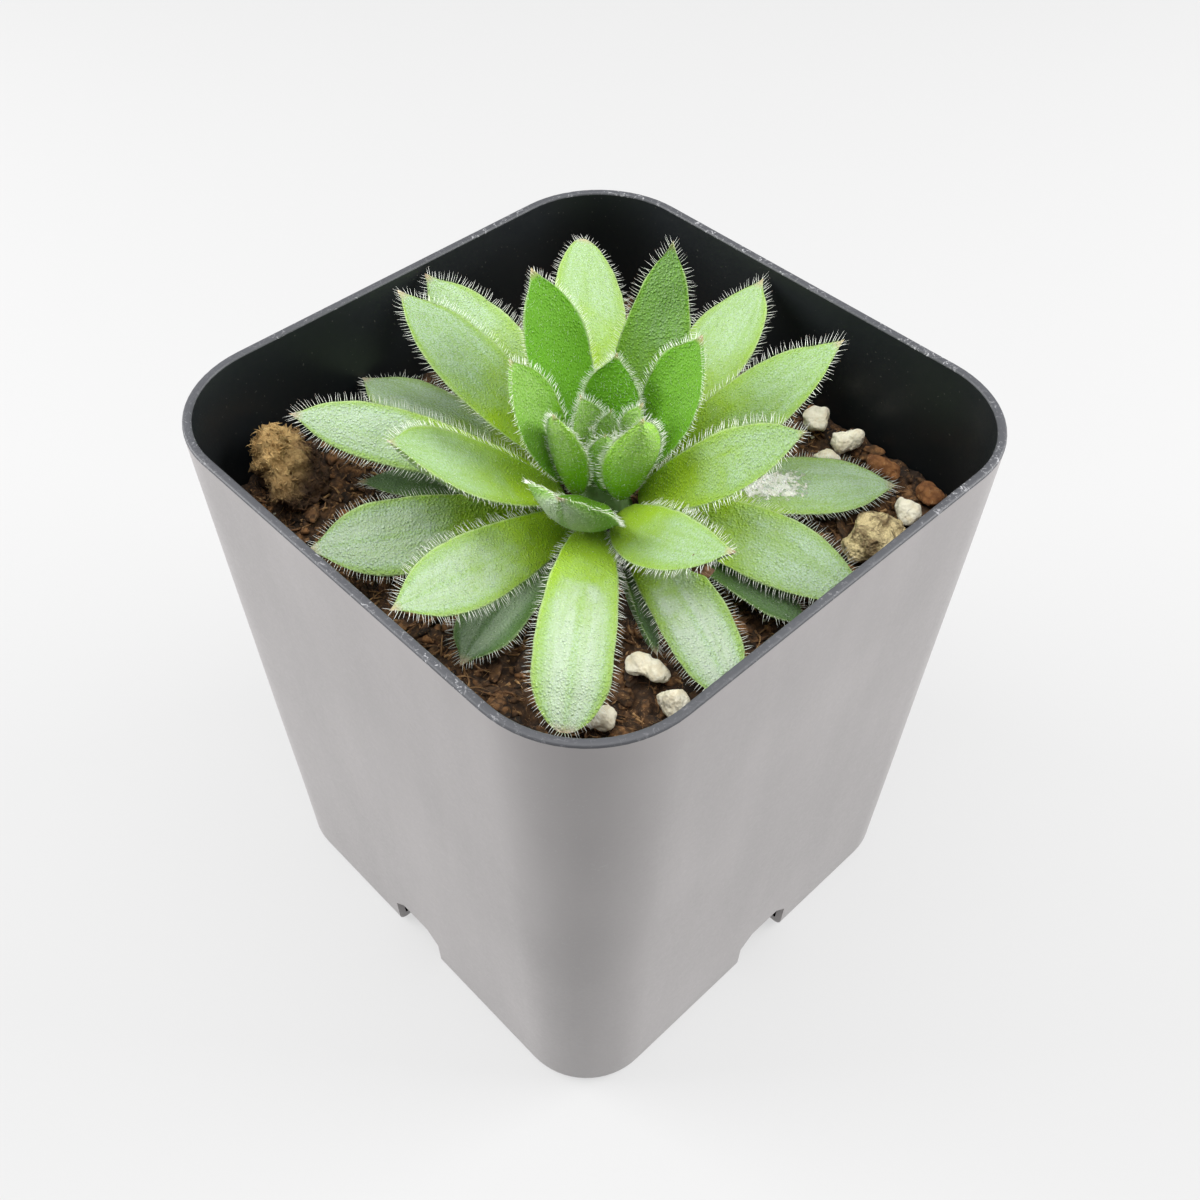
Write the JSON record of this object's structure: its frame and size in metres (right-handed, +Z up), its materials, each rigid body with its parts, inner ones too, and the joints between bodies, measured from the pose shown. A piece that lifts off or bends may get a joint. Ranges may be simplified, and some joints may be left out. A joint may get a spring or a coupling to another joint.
{
  "type": "potted succulent",
  "caption": "Small hairy-leaved rosette succulent standing in gritty soil in a square tapered plastic nursery pot with drain notches.",
  "frame": {"origin": "middle of the pot's underside, on the surface it stands on", "axes": "+Z up; the pot's sides run along X and Y"},
  "size_m": [0.07, 0.07, 0.0889],
  "materials": {
    "pot_plastic": "satin-gloss thin plastic, grey outside and near black inside",
    "soil": "damp dark brown fibrous peat mix",
    "stem": "short green-brown stem with a pale root",
    "leaf_dark": "dark green older leaves, slightly waxy, fringed with white hairs",
    "leaf_frosted": "pale frosted green with yellow-green base and margins, fine hairs",
    "leaf_fresh": "fresh green, frosted towards the tip, fine hairs",
    "leaf_bright": "saturated green young leaves with a white hairy margin",
    "leaf_heart": "small heart leaves covered in short white hairs",
    "perlite": "white to cream pitted grains",
    "bark": "reddish brown chips",
    "pebble": "rough tan stone",
    "peat": "ochre brown fibrous clod"
  },
  "bodies": {
    "root": {"bark_chip_1": "bark", "bark_chip_2": "bark", "bark_chip_3": "bark", "bud_leaf_1": "leaf_heart", "bud_leaf_2": "leaf_heart", "bud_leaf_3": "leaf_heart", "crown_leaf_1": "leaf_heart", "crown_leaf_2": "leaf_heart", "crown_leaf_3": "leaf_heart", "heart_leaf_1": "leaf_heart", "heart_leaf_2": "leaf_heart", "heart_leaf_3": "leaf_heart", "inner_leaf_1": "leaf_bright", "inner_leaf_2": "leaf_bright", "inner_leaf_3": "leaf_bright", "inner_leaf_4": "leaf_bright", "low_leaf_1": "leaf_dark", "low_leaf_2": "leaf_dark", "low_leaf_3": "leaf_dark", "low_leaf_4": "leaf_dark", "low_leaf_5": "leaf_dark", "middle_leaf_1": "leaf_fresh", "middle_leaf_2": "leaf_fresh", "middle_leaf_3": "leaf_fresh", "middle_leaf_4": "leaf_fresh", "middle_leaf_5": "leaf_fresh", "middle_leaf_6": "leaf_fresh", "outer_leaf_1": "leaf_frosted", "outer_leaf_2": "leaf_frosted", "outer_leaf_3": "leaf_frosted", "outer_leaf_4": "leaf_frosted", "outer_leaf_5": "leaf_frosted", "outer_leaf_6": "leaf_frosted", "peat_clod": "peat", "pebble": "pebble", "perlite_1": "perlite", "perlite_2": "perlite", "perlite_3": "perlite", "perlite_4": "perlite", "perlite_5": "perlite", "perlite_6": "perlite", "perlite_7": "perlite", "pot": "pot_plastic", "soil": "soil", "spread_leaf_1": "leaf_frosted", "spread_leaf_2": "leaf_frosted", "spread_leaf_3": "leaf_frosted", "spread_leaf_4": "leaf_frosted", "spread_leaf_5": "leaf_frosted", "stem_and_root": "stem"}
  },
  "joints": []
}
